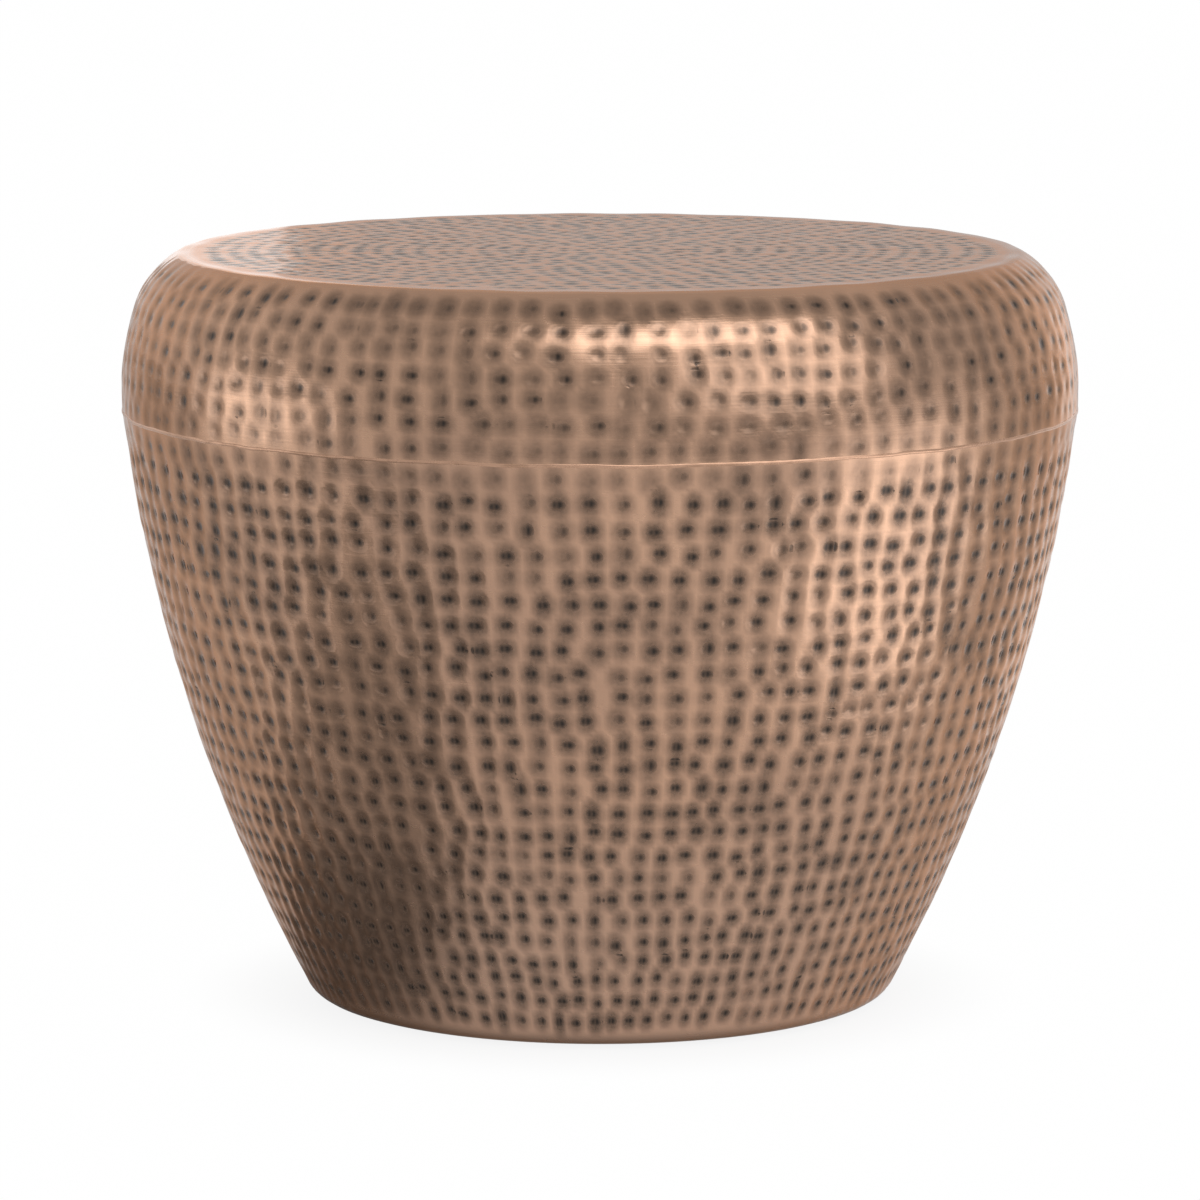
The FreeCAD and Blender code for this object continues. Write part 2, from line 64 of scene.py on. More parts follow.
# Lower shell
# The tapered wall of the drum is one spun sheet, hammered over a stake in level rings, darkened and then
# rubbed back so that the patina stays in the hollows. A lip turned in at the base stiffens its edge.
FULL_TURN = 2 * math.pi
MESH_COLUMNS = 618
MERGE_GAP = 0.000005
SHELL_WALL = 0.0016
WAIST_BOW = 0.164
WALL_BOW = 1.017
WALL_LEAN = math.radians(6.8)
BASE_ROUND = 0.014
LIP_WIDTH = 0.008
SEAM_DROP = 0.0122
WALL_STEPS = 140
CORNER_STEPS = 5
INNER_CORNER_STEPS = 3
INNER_WALL_STEPS = 7
weld_low, weld_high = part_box("seam_weld")
seam_height = (weld_low.z + weld_high.z) / 2
widest_reach = min(cad_box[1].x, cad_box[1].y)
seam_reach = widest_reach - WAIST_BOW + math.sqrt(WAIST_BOW ** 2 - SEAM_DROP ** 2)
wall_centre = (seam_reach - WALL_BOW * math.cos(WALL_LEAN), seam_height + WALL_BOW * math.sin(WALL_LEAN))
lip_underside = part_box("lower_shell")[0].z
corner_height = lip_underside + BASE_ROUND
corner_drop = wall_centre[1] - corner_height
corner_reach = wall_centre[0] + math.sqrt((WALL_BOW - BASE_ROUND) ** 2 - corner_drop ** 2)
corner_centre = (corner_reach, corner_height)
corner_angle = math.atan2(-corner_drop, corner_reach - wall_centre[0])


def arc_points(centre, radius, start, end, steps):
    """Points of a section along an arc, as reach from the axis and height."""
    angles = [start + (end - start) * step / steps for step in range(steps + 1)]
    return [(centre[0] + radius * math.cos(angle), centre[1] + radius * math.sin(angle))
            for angle in angles]


def line_points(start, end, steps):
    """Points of a section along a straight line."""
    shares = [step / steps for step in range(steps + 1)]
    return [(start[0] + (end[0] - start[0]) * share, start[1] + (end[1] - start[1]) * share)
            for share in shares]


def joined(*stretches):
    """One section from stretches that each start where the one before ends."""
    section = list(stretches[0])
    for stretch in stretches[1:]:
        section += stretch[1:]
    return section


def turn_section(name, section, closed=True):
    """Extrudes a section point by point from one vertex and turns it round the drum's axis."""
    bpy.ops.object.select_all(action="DESELECT")
    bpy.ops.mesh.primitive_plane_add(size=SHELL_WALL, location=(section[0][0], 0, section[0][1]))
    piece = bpy.context.object
    piece.name = name
    piece.data.name = name
    bpy.ops.object.transform_apply(location=True, rotation=True, scale=True)
    bpy.ops.object.mode_set(mode="EDIT")
    bpy.ops.mesh.select_all(action="SELECT")
    bpy.ops.mesh.merge(type="CENTER")
    ends = section[1:]
    if closed:
        ends = ends + section[:1]
    for here, spot in zip(section, ends):
        step = (spot[0] - here[0], 0, spot[1] - here[1])
        bpy.ops.mesh.extrude_region_move(TRANSFORM_OT_translate={"value": step})
    bpy.ops.mesh.select_all(action="SELECT")
    bpy.ops.mesh.remove_doubles(threshold=MERGE_GAP)
    bpy.ops.object.mode_set(mode="OBJECT")
    turning = piece.modifiers.new("turning", "SCREW")
    turning.axis = "Z"
    turning.angle = FULL_TURN
    turning.steps = MESH_COLUMNS
    turning.render_steps = MESH_COLUMNS
    turning.use_merge_vertices = True
    turning.merge_threshold = MERGE_GAP
    bpy.ops.object.modifier_apply(modifier=turning.name)
    bpy.ops.object.mode_set(mode="EDIT")
    bpy.ops.mesh.select_all(action="SELECT")
    bpy.ops.mesh.remove_doubles(threshold=MERGE_GAP)
    bpy.ops.mesh.normals_make_consistent(inside=False)
    bpy.ops.object.mode_set(mode="OBJECT")
    return piece


wall_face = arc_points(wall_centre, WALL_BOW, -WALL_LEAN, corner_angle, WALL_STEPS)
corner_face = arc_points(corner_centre, BASE_ROUND, corner_angle, -math.pi / 2, CORNER_STEPS)
lip_edge = (corner_reach - LIP_WIDTH, lip_underside)
lip_top = (lip_edge[0], lip_underside + SHELL_WALL)
inner_corner = arc_points(
    corner_centre, BASE_ROUND - SHELL_WALL, -math.pi / 2, corner_angle, INNER_CORNER_STEPS)
inner_wall = arc_points(wall_centre, WALL_BOW - SHELL_WALL, corner_angle, -WALL_LEAN, INNER_WALL_STEPS)
lower_section = joined(
    wall_face,
    corner_face,
    line_points(corner_face[-1], lip_edge, 1),
    line_points(lip_edge, lip_top, 1),
    line_points(lip_top, inner_corner[0], 1),
    inner_corner,
    inner_wall,
)
lower_shell = turn_section("hammered_lower_shell", lower_section)

# A mark is drawn from these: how far the rings sway, how far each mark strays from its place, how large it
# is, how hard it was struck and how dark its patina is. A wave is its number round the ring, its size and
# how fast it drifts from ring to ring.
SWAY_WAVES = ((5, 0.16, 1.0), (11, 0.10, -1.4))
CLIMB_WAVES = ((7, 0.12, 3.0),)
TONE_WAVES = ((9, 0.07, 0.8), (4, 0.07, -0.6))
DRIFT_PER_METRE = 48
STRAY_SIDEWAYS = 0.085
MOST_SIDEWAYS = 0.2
STRAY_LENGTHWAYS = 0.15
MOST_LENGTHWAYS = 0.34
BREADTHS = (0.84, 1.10)
LENGTHS = (0.84, 1.06)
LONG_MARK_CHANCE = 0.1
LONG_MARK_STRETCH = 1.4
BLOWS = (0.66, 1.10)
TONES = (0.64, 1.14)
MARK_DEPTH = 0.00146
MARKS_PER_RING = 103
MARK_WIDTH_SHARE = 0.46
MARK_LENGTH_SHARE = 0.49
WIDEST_MARK = 0.0080
MARK_STRETCH = 1.1
ROW_REACH = 2.2
FAR_FROM_MARKS = 3.0
DISH_REACH = 1.15
DISH_STRETCH = 0.45
DISH_EDGE = 1.35
DISH_SHARE = 0.7
STAIN_REACH = 1.16
STAIN_STRETCH = 0.76
STAIN_EDGE = 0.95
PALEST_STAIN = 0.4
PIT_REACH = 0.8
PIT_EDGE = 2
LUMP_WAVES = ((23, 90), (31, -130))
LUMP_DEPTH = 0.0004
LUMP_FADE = 0.012
LUMP_FREE_REACH = 0.05
LUMP_EASE = 0.12
DEEPEST_DENT = SHELL_WALL - 0.0001
EASED_FROM = 0.0012
SHELL_CREASE = math.radians(50)


def hammer_row(along, spacing, number, shift, depth_share=1.0, tone_share=1.0, shortening=1.0):
    """One ring of hammer marks: its place along the section, its spacing and how hard it was struck."""
    return {"along": along, "half_length": spacing * MARK_LENGTH_SHARE, "number": number, "shift": shift,
            "depth_share": depth_share, "tone_share": tone_share, "shortening": shortening}


def ring_waves(ring, drift, waves):
    """Slow waves round a ring of marks."""
    return sum(size * np.sin(number * ring + shift * drift) for number, size, shift in waves)


def ring_blows(row, draw):
    """Draws the place, breadth, length, depth and darkness of each mark of a ring."""
    number = row["number"]
    ring = np.arange(number) / number * FULL_TURN
    drift = DRIFT_PER_METRE * row["along"]
    sway = ring_waves(ring, drift, SWAY_WAVES)
    stray = np.clip(draw.normal(0, STRAY_SIDEWAYS, number), -MOST_SIDEWAYS, MOST_SIDEWAYS)
    sideways = row["shift"] + sway + stray
    climb = ring_waves(ring, drift, CLIMB_WAVES)
    stray = np.clip(draw.normal(0, STRAY_LENGTHWAYS, number), -MOST_LENGTHWAYS, MOST_LENGTHWAYS)
    lengthways = (climb + stray) * row["half_length"]
    broad = draw.uniform(*BREADTHS, number)
    tall = draw.uniform(*LENGTHS, number)
    tall = tall * np.where(draw.uniform(0, 1, number) < LONG_MARK_CHANCE, LONG_MARK_STRETCH, 1.0)
    struck = draw.uniform(*BLOWS, number) * row["depth_share"] * MARK_DEPTH
    cluster = ring_waves(ring, drift, TONE_WAVES)
    dark = (cluster + draw.uniform(*TONES, number)) * row["tone_share"]
    return sideways, lengthways, broad, tall, struck, dark


def bowl(gap, edge):
    """A round hollow, 1 in the middle and 0 where the gap reaches 1."""
    return np.clip(1 - gap ** 2, 0, None) ** edge


def smooth(piece, crease):
    """Shades a piece smooth, up to the angle of a crease."""
    bpy.ops.object.select_all(action="DESELECT")
    piece.select_set(True)
    bpy.ops.object.shade_smooth_by_angle(angle=crease)


def press_in(piece, depth):
    """Moves each point of a shell in along its normal by its own depth."""
    deepest = depth.max()
    group = piece.vertex_groups.new(name="struck")
    for index in np.flatnonzero(depth):
        group.add([int(index)], depth[index] / deepest, "REPLACE")
    dents = piece.modifiers.new("hammer_dents", "DISPLACE")
    dents.direction = "NORMAL"
    dents.vertex_group = group.name
    dents.mid_level = 0
    dents.strength = -deepest
    bpy.context.view_layer.objects.active = piece
    bpy.ops.object.modifier_apply(modifier=dents.name)


def strike(piece, section, face_points, rows, draw):
    """Dents a shell with rings of hammer marks and stores where each point lies in its nearest mark.

    hammer_mark holds the place across and along the nearest mark and the distance from its middle, in half
    sizes of the mark. hammer_blow holds how dark its patina is, how far down in a hollow the point lies and
    how deep the mark was struck.
    """
    mesh = piece.data
    spots = np.empty(len(mesh.vertices) * 3, np.float32)
    mesh.vertices.foreach_get("co", spots)
    spots = spots.reshape(-1, 3)
    reach = np.hypot(spots[:, 0], spots[:, 1])
    turn = np.arctan2(spots[:, 1], spots[:, 0]) / FULL_TURN
    outline = np.array(section, np.float32)
    lengths = np.hypot(*np.diff(outline, axis=0).T)
    along_outline = np.concatenate([[0], np.cumsum(lengths)])
    offsets = (reach[:, None] - outline[:, 0]) ** 2 + (spots[:, 2:] - outline[:, 1]) ** 2
    nearest = np.argmin(offsets, axis=1)
    along = along_outline[nearest]
    on_face = nearest < face_points

    place = np.zeros((len(spots), 3), np.float32)
    place[:, 2] = FAR_FROM_MARKS
    blow = np.zeros((len(spots), 3), np.float32)
    hollow = np.zeros(len(spots))
    dish_depth = np.zeros(len(spots))
    pit_depth = np.zeros(len(spots))
    for row in rows:
        number = row["number"]
        sideways, lengthways, broad, tall, struck, dark = ring_blows(row, draw)
        near = np.flatnonzero(on_face & (np.abs(along - row["along"]) < ROW_REACH * row["half_length"]))
        pitch = FULL_TURN * np.maximum(reach[near], row["half_length"]) / number
        half_width = np.minimum(pitch * MARK_WIDTH_SHARE, WIDEST_MARK)
        size = half_width / WIDEST_MARK
        middle = np.round(turn[near] * number - row["shift"]).astype(int)
        for side in (-1, 0, 1):
            mark = (middle + side) % number
            across = (turn[near] * number - middle - side - sideways[mark]) * pitch
            across = across / (half_width * broad[mark])
            down = (along[near] - row["along"] - lengthways[mark]) / (row["half_length"] * tall[mark])
            gap = np.hypot(across, MARK_STRETCH * down)
            dish_gap = np.hypot(across, DISH_STRETCH * row["shortening"] * down)
            dish = bowl(dish_gap / DISH_REACH, DISH_EDGE)
            stain_gap = np.hypot(across, STAIN_STRETCH * row["shortening"] * down)
            stained = bowl(stain_gap / STAIN_REACH, STAIN_EDGE)
            pit = bowl(gap / PIT_REACH, PIT_EDGE)
            stained = stained * (PALEST_STAIN + (1 - PALEST_STAIN) * dark[mark])
            hollow[near] = np.maximum(hollow[near], stained)
            dish_depth[near] = np.maximum(dish_depth[near], dish * struck[mark] * size)
            pit_depth[near] = np.maximum(pit_depth[near], pit * struck[mark] * size)
            closer = gap < place[near, 2]
            chosen = near[closer]
            place[chosen, 0] = across[closer]
            place[chosen, 1] = MARK_STRETCH * down[closer]
            place[chosen, 2] = gap[closer]
            blow[chosen, 0] = dark[mark][closer]
            blow[chosen, 2] = struck[mark][closer] * size[closer] / MARK_DEPTH

    waves = (np.sin(number * FULL_TURN * turn + twist * along) for number, twist in LUMP_WAVES)
    lumps = sum(waves, start=len(LUMP_WAVES))
    edge = np.clip(np.minimum(along, along_outline[face_points - 1] - along) / LUMP_FADE, 0, 1)
    edge = edge * np.clip((reach - LUMP_FREE_REACH) / LUMP_EASE, 0, 1)
    depth = DISH_SHARE * dish_depth + (1 - DISH_SHARE) * pit_depth
    depth = depth + np.where(on_face, LUMP_DEPTH * edge * lumps / (2 * len(LUMP_WAVES)), 0)
    room = DEEPEST_DENT - EASED_FROM
    eased = room * np.tanh(np.maximum(depth - EASED_FROM, 0) / room)
    blow[:, 1] = hollow
    mesh.attributes.new("hammer_mark", "FLOAT_VECTOR", "POINT").data.foreach_set("vector", place.ravel())
    mesh.attributes.new("hammer_blow", "FLOAT_VECTOR", "POINT").data.foreach_set("vector", blow.ravel())
    press_in(piece, np.minimum(depth, EASED_FROM) + eased)
    smooth(piece, SHELL_CREASE)


WALL_ROWS = 25
WALL_ROW_STEP = 0.01468
FIRST_ROW_BELOW_SEAM = 0.0088
ROW_STAGGER = 0.06
GROUND_ROW_SHARE = 0.35
PALEST_ROW = 0.4
STRUCK_CORNER_POINTS = 3
LOWER_SEED = 41


def level_row(number, first, step, depth_share):
    """One of the level rings, set off a little from the ring above it. Ground ones are shallow and pale."""
    stagger = ROW_STAGGER if number % 2 else -ROW_STAGGER
    tone_share = PALEST_ROW + (1 - PALEST_ROW) * depth_share
    return hammer_row(first + number * step, step, MARKS_PER_RING, stagger, depth_share, tone_share)


lower_rows = []
for number in range(WALL_ROWS):
    ground = GROUND_ROW_SHARE if number == 0 else 1.0
    lower_rows.append(level_row(number, FIRST_ROW_BELOW_SEAM, WALL_ROW_STEP, ground))
strike(lower_shell, lower_section, len(wall_face) + STRUCK_CORNER_POINTS, lower_rows,
       np.random.default_rng(LOWER_SEED))


def add_node(tree, kind, **settings):
    """A node of a material, with its settings."""
    node = tree.nodes.new(kind)
    for name, setting in settings.items():
        setattr(node, name, setting)
    return node


def feed(tree, socket, source):
    """Links a socket to another node's output, or sets it to a plain value."""
    if isinstance(source, bpy.types.NodeSocket):
        tree.links.new(source, socket)
    else:
        socket.default_value = source


def calculate(tree, operation, first, second=None):
    node = add_node(tree, "ShaderNodeMath", operation=operation)
    feed(tree, node.inputs[0], first)
    if second is not None:
        feed(tree, node.inputs[1], second)
    return node.outputs[0]


def remap(tree, source, low, high, to_low, to_high):
    """A soft step from one value to another."""
    node = add_node(tree, "ShaderNodeMapRange", interpolation_type="SMOOTHSTEP")
    for socket, number in zip(node.inputs, (source, low, high, to_low, to_high)):
        feed(tree, socket, number)
    return node.outputs[0]


def mix_numbers(tree, factor, first, second):
    node = add_node(tree, "ShaderNodeMix", data_type="FLOAT")
    for socket, source in zip((node.inputs[0], node.inputs[2], node.inputs[3]), (factor, first, second)):
        feed(tree, socket, source)
    return node.outputs[0]


def mix_colours(tree, factor, first, second):
    node = add_node(tree, "ShaderNodeMix", data_type="RGBA")
    for socket, source in zip((node.inputs[0], node.inputs[6], node.inputs[7]), (factor, first, second)):
        feed(tree, socket, source)
    return node.outputs[2]


def noise(tree, vector, scale, detail):
    node = add_node(tree, "ShaderNodeTexNoise")
    for label, source in (("Vector", vector), ("Scale", scale), ("Detail", detail)):
        feed(tree, node.inputs[label], source)
    return node.outputs["Fac"]


def own_place(tree):
    """Where a point lies on its piece."""
    return add_node(tree, "ShaderNodeTexCoord").outputs["Object"]


def split_place(tree, vector):
    """The three numbers of a vector."""
    node = add_node(tree, "ShaderNodeSeparateXYZ")
    feed(tree, node.inputs[0], vector)
    return node.outputs


def stored(tree, name):
    """The three numbers that a mesh holds for each point under a name."""
    return split_place(tree, add_node(tree, "ShaderNodeAttribute", attribute_name=name).outputs["Vector"])


def vector_length(tree, vector):
    node = add_node(tree, "ShaderNodeVectorMath", operation="LENGTH")
    feed(tree, node.inputs[0], vector)
    return node.outputs["Value"]


def flat_length(tree, first, second):
    """Length of a vector in a plane."""
    joint = add_node(tree, "ShaderNodeCombineXYZ")
    feed(tree, joint.inputs[0], first)
    feed(tree, joint.inputs[1], second)
    return vector_length(tree, joint.outputs[0])


def add_bump(tree, height, distance, strength=1.0, over=None, invert=False):
    """Bends the normal by a height, on top of another bump where there is one."""
    node = add_node(tree, "ShaderNodeBump", invert=invert)
    node.inputs["Strength"].default_value = strength
    node.inputs["Distance"].default_value = distance
    feed(tree, node.inputs["Height"], height)
    if over is not None:
        feed(tree, node.inputs["Normal"], over)
    return node.outputs[0]


def new_group(name, inputs, outputs):
    """A shader node group with number inputs and named outputs."""
    tree = bpy.data.node_groups.new(name, "ShaderNodeTree")
    for label, number in inputs.items():
        socket = tree.interface.new_socket(label, in_out="INPUT", socket_type="NodeSocketFloat")
        socket.default_value = number
    for label in outputs:
        tree.interface.new_socket(label, in_out="OUTPUT", socket_type="NodeSocketFloat")
    return tree, add_node(tree, "NodeGroupInput"), add_node(tree, "NodeGroupOutput")


def place_group(tree, group, **values):
    node = add_node(tree, "ShaderNodeGroup", node_tree=group)
    for label, number in values.items():
        node.inputs[label.replace("_", " ")].default_value = number
    return node


def new_material(name):
    """An empty material with its Principled shader."""
    material = bpy.data.materials.new(name)
    material.use_nodes = True
    return material, material.node_tree, material.node_tree.nodes["Principled BSDF"]


def dress(piece, material):
    piece.data.materials.clear()
    piece.data.materials.append(material)


# Fine marks left by an abrasive pad held against the turning work run round it, so they change quickly
# along the section and slowly round the axis.
LINE_DETAIL = 2.0
CLOUD_SCALE = 9.0
CLOUD_DETAIL = 4.0
brushing, brushing_in, brushing_out = new_group(
    "turned_brushing", {"Lines per metre": 700.0, "Waves per metre": 14.0}, ["Lines", "Cloud"])
lines_per_metre, waves_per_metre = brushing_in.outputs[:2]
brushed_spot = own_place(brushing)
brushed_x, brushed_y, brushed_z = split_place(brushing, brushed_spot)
section_place = calculate(brushing, "SUBTRACT", flat_length(brushing, brushed_x, brushed_y), brushed_z)
line_place = add_node(brushing, "ShaderNodeCombineXYZ")
feed(brushing, line_place.inputs[0], calculate(brushing, "MULTIPLY", brushed_x, waves_per_metre))
feed(brushing, line_place.inputs[1], calculate(brushing, "MULTIPLY", brushed_y, waves_per_metre))
feed(brushing, line_place.inputs[2], calculate(brushing, "MULTIPLY", section_place, lines_per_metre))
feed(brushing, brushing_out.inputs[0], noise(brushing, line_place.outputs[0], 1.0, LINE_DETAIL))
feed(brushing, brushing_out.inputs[1], noise(brushing, brushed_spot, CLOUD_SCALE, CLOUD_DETAIL))

RUBBED_COPPER = (0.612, 0.369, 0.243, 1)
DULL_COPPER = (0.517, 0.313, 0.209, 1)
TOP_COPPER = (0.72, 0.438, 0.294, 1)
GREYER_LOW_COPPER = (0.597, 0.391, 0.281, 1)
DARK_PATINA = (0.019, 0.0138, 0.0106, 1)
# A dark brown painted along the lip as shade.
PAINTED_LIP_SHADE = (0.16, 0.102, 0.073, 1)
COPPER_AT_GRAZING = (0.8, 0.46, 0.27, 1)
CLOUD_LIMITS = (0.35, 0.65)
GRAIN_LIMITS = (0.3, 0.7)
FRAY_SCALE = 260.0
FRAY_DETAIL = 3.0
FRAY_SIZE = 0.22
INSIDE_MARK = (0.6, 0.86)
CORE_HALF_WIDTH = 1.12
CORE_HALF_HEIGHT = 1.0
CORE_FADE = (0.1, 1.16)
REFLECTION_LINE_OFFSET = 0.05
REFLECTION_LINE_HALF_WIDTH = 0.24
REFLECTION_LINE_TONE = 0.9
SIDE_SHADE_SPAN = (-0.6, 0.4)
SIDE_SHADE_TONES = (0.92, 1.3)
DARKEST_STAIN = 1.0
HOLLOW_FRAY = (0.25, 0.75)
HOLLOW_TONES = (0.66, 0.86)
GREYING_HEIGHTS = (0.04, 0.2)
GREYING_SHARE = 0.7
LIP_SHADE_HEIGHTS = (0.003, 0.013)
LIP_SHADE_SHARE = 0.85
TOP_HEIGHTS = (0.4555, 0.4568)
TOP_REACHES = (0.2445, 0.2515)
WALL_STAIN_LIMITS = (0.45, 0.95)
WALL_STAIN_METAL = 0.15
TOP_STAIN_LIMITS = (0.05, 0.6)
TOP_STAIN_METAL = 0.08
WALL_ROUGHNESS = (0.2, 0.28)
TOP_ROUGHNESS = 0.36
PATINA_ROUGHNESS = 0.18
PIT_MIDDLE = (0.45, 0.75)
PIT_SLOPE = (0.0, 0.8)
EXTRA_PIT_DEPTH = 0.0005
RIM_SLOPE = (0.74, 1.16)
RIM_STEP = 0.00013
LINE_DEPTH = 0.00005
WALL_LACQUER = 0.75
TOP_LACQUER = 0.52
LACQUER_IOR = 1.4
LACQUER_ROUGHNESS = 0.07
copper, tree, surface = new_material("hammered_copper")
across, along, mark_gap = stored(tree, "hammer_mark")
tone, hollow, struck = stored(tree, "hammer_blow")
brushed = place_group(tree, brushing)
copper_spot = own_place(tree)
copper_x, copper_y, copper_z = split_place(tree, copper_spot)
ragged = noise(tree, copper_spot, FRAY_SCALE, FRAY_DETAIL)
frayed = calculate(tree, "MULTIPLY", calculate(tree, "SUBTRACT", ragged, 0.5), FRAY_SIZE)

# The punch leaves a dark patina oval in each mark. The oval is painted darker towards its right as shade,
# and a finer pale line down it is a painted reflection. The patina that was rubbed off the ridges stays in
# the hollow round it.
inside = remap(tree, mark_gap, *INSIDE_MARK, 1.0, 0.0)
core_across = calculate(tree, "DIVIDE", across, CORE_HALF_WIDTH)
core_along = calculate(tree, "DIVIDE", along, CORE_HALF_HEIGHT)
core_gap = calculate(tree, "ADD", flat_length(tree, core_across, core_along), frayed)
oval = calculate(tree, "MULTIPLY", remap(tree, core_gap, *CORE_FADE, 1.0, 0.0), inside)
# Painted reflection: a paler line down the middle of each oval.
from_reflection_line = calculate(tree, "ABSOLUTE", calculate(tree, "ADD", across, REFLECTION_LINE_OFFSET))
painted_reflection_line = remap(tree, from_reflection_line, 0.0, REFLECTION_LINE_HALF_WIDTH, REFLECTION_LINE_TONE, 1.0)
# Painted shade: each oval darkens towards its right side.
tone_with_side_shade = calculate(tree, "MULTIPLY", tone, remap(tree, across, *SIDE_SHADE_SPAN, *SIDE_SHADE_TONES))
core_tone = calculate(tree, "MINIMUM", tone_with_side_shade, DARKEST_STAIN)
core = calculate(tree, "MULTIPLY", oval, calculate(tree, "MULTIPLY", core_tone, painted_reflection_line))
hollow_stain = calculate(tree, "MULTIPLY", hollow, remap(tree, ragged, *HOLLOW_FRAY, *HOLLOW_TONES))
# The patina, carrying the painted side shade and the painted reflection line.
patina_with_painted_light = calculate(tree, "MAXIMUM", core, hollow_stain)

# The ridges are rubbed copper, cloudy on the wall, greyer towards the floor and paler on the flat top. Near
# the lip the colour is painted darker as shade.
near_top = remap(tree, copper_z, *TOP_HEIGHTS, 0.0, 1.0)
from_axis = flat_length(tree, copper_x, copper_y)
on_top = calculate(tree, "MULTIPLY", near_top, remap(tree, from_axis, *TOP_REACHES, 1.0, 0.0))
clouded = remap(tree, brushed.outputs["Cloud"], *CLOUD_LIMITS, 0.0, 1.0)
# The wall turns greyer towards the floor.
greyer_low = remap(tree, copper_z, *GREYING_HEIGHTS, GREYING_SHARE, 0.0)
# Painted shade: darker towards the lip, standing in for the shaded floor seen in the turned corner.
lip_shade = remap(tree, copper_z, *LIP_SHADE_HEIGHTS, LIP_SHADE_SHARE, 0.0)
clean_land = mix_colours(tree, clouded, DULL_COPPER, RUBBED_COPPER)
wall_land = mix_colours(tree, greyer_low, clean_land, GREYER_LOW_COPPER)
land = mix_colours(tree, on_top, wall_land, TOP_COPPER)
patinated = mix_colours(tree, patina_with_painted_light, land, DARK_PATINA)
feed(tree, surface.inputs["Base Color"], mix_colours(tree, lip_shade, patinated, PAINTED_LIP_SHADE))
wall_metal = remap(tree, patina_with_painted_light, *WALL_STAIN_LIMITS, 1.0, WALL_STAIN_METAL)
top_metal = remap(tree, patina_with_painted_light, *TOP_STAIN_LIMITS, 1.0, TOP_STAIN_METAL)
feed(tree, surface.inputs["Metallic"], mix_numbers(tree, on_top, wall_metal, top_metal))
surface.inputs["Specular IOR Level"].default_value = 0.0
surface.inputs["Specular Tint"].default_value = COPPER_AT_GRAZING
wall_roughness = remap(tree, brushed.outputs["Lines"], *GRAIN_LIMITS, *WALL_ROUGHNESS)
brushed_roughness = mix_numbers(tree, on_top, wall_roughness, TOP_ROUGHNESS)
feed(tree, surface.inputs["Roughness"], mix_numbers(tree, patina_with_painted_light, brushed_roughness, PATINA_ROUGHNESS))

# Each mark has a pit in its middle and a soft rim, finer than the mesh, under the brushing and the lacquer.
near_middle = remap(tree, mark_gap, *PIT_MIDDLE, 1.0, 0.0)
from_middle = mix_numbers(tree, near_middle, mark_gap, flat_length(tree, across, along))
pit = calculate(tree, "MULTIPLY", remap(tree, from_middle, *PIT_SLOPE, 1.0, 0.0), struck)
rim = calculate(tree, "MULTIPLY", remap(tree, mark_gap, *RIM_SLOPE, 0.0, 1.0), struck)
pit_bump = add_bump(tree, pit, EXTRA_PIT_DEPTH, invert=True)
rim_bump = add_bump(tree, rim, RIM_STEP, over=pit_bump)
line_bump = add_bump(tree, brushed.outputs["Lines"], LINE_DEPTH, over=rim_bump)
feed(tree, surface.inputs["Normal"], line_bump)
feed(tree, surface.inputs["Coat Normal"], rim_bump)
feed(tree, surface.inputs["Coat Weight"], mix_numbers(tree, on_top, WALL_LACQUER, TOP_LACQUER))
surface.inputs["Coat IOR"].default_value = LACQUER_IOR
surface.inputs["Coat Roughness"].default_value = LACQUER_ROUGHNESS

dress(lower_shell, copper)
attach(lower_shell, "root")
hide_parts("lower_shell")


# Top shell
# The flat top, its crease, the round shoulder and the widest line are a second spun sheet. Its top is
# hammered in rings round the centre, with a plain margin inside the crease, and its side in level rings.
CREASE_ROUND = 0.009
SHOULDER_BOW = 0.055
SHOULDER_START = math.radians(18.1)
SHOULDER_END = math.radians(61.5)
FLAT_STEPS = 96
CREASE_STEPS = 5
SHOULDER_STEPS = 16
WAIST_STEPS = 25
INNER_WAIST_STEPS = 5
INNER_SHOULDER_STEPS = 4
INNER_CREASE_STEPS = 2
UNDERSIDE_STEPS = 5
top_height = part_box("top_shell")[1].z
waist_centre = (widest_reach - WAIST_BOW, seam_height + SEAM_DROP)
waist_step = WAIST_BOW - SHOULDER_BOW
shoulder_centre = (waist_centre[0] + waist_step * math.cos(SHOULDER_START),
                   waist_centre[1] + waist_step * math.sin(SHOULDER_START))
crease_step = SHOULDER_BOW - CREASE_ROUND
crease_centre = (shoulder_centre[0] + crease_step * math.cos(SHOULDER_END), top_height - CREASE_ROUND)
seam_angle = -math.asin(SEAM_DROP / WAIST_BOW)
flat_face = line_points((0, top_height), (crease_centre[0], top_height), FLAT_STEPS)
crease_face = arc_points(crease_centre, CREASE_ROUND, math.pi / 2, SHOULDER_END, CREASE_STEPS)
shoulder_face = arc_points(shoulder_centre, SHOULDER_BOW, SHOULDER_END, SHOULDER_START, SHOULDER_STEPS)
waist_face = arc_points(waist_centre, WAIST_BOW, SHOULDER_START, seam_angle, WAIST_STEPS)
inner_waist = arc_points(
    waist_centre, WAIST_BOW - SHELL_WALL, seam_angle, SHOULDER_START, INNER_WAIST_STEPS)
inner_shoulder = arc_points(
    shoulder_centre, SHOULDER_BOW - SHELL_WALL, SHOULDER_START, SHOULDER_END, INNER_SHOULDER_STEPS)
inner_crease = arc_points(
    crease_centre, CREASE_ROUND - SHELL_WALL, SHOULDER_END, math.pi / 2, INNER_CREASE_STEPS)
underside = line_points(inner_crease[-1], (0, top_height - SHELL_WALL), UNDERSIDE_STEPS)
top_face = joined(flat_face, crease_face, shoulder_face, waist_face)
top_section = joined(
    top_face,
    line_points(waist_face[-1], inner_waist[0], 1),
    inner_waist,
    inner_shoulder,
    inner_crease,
    underside,
)
top_shell = turn_section("hammered_top_shell", top_section, closed=False)

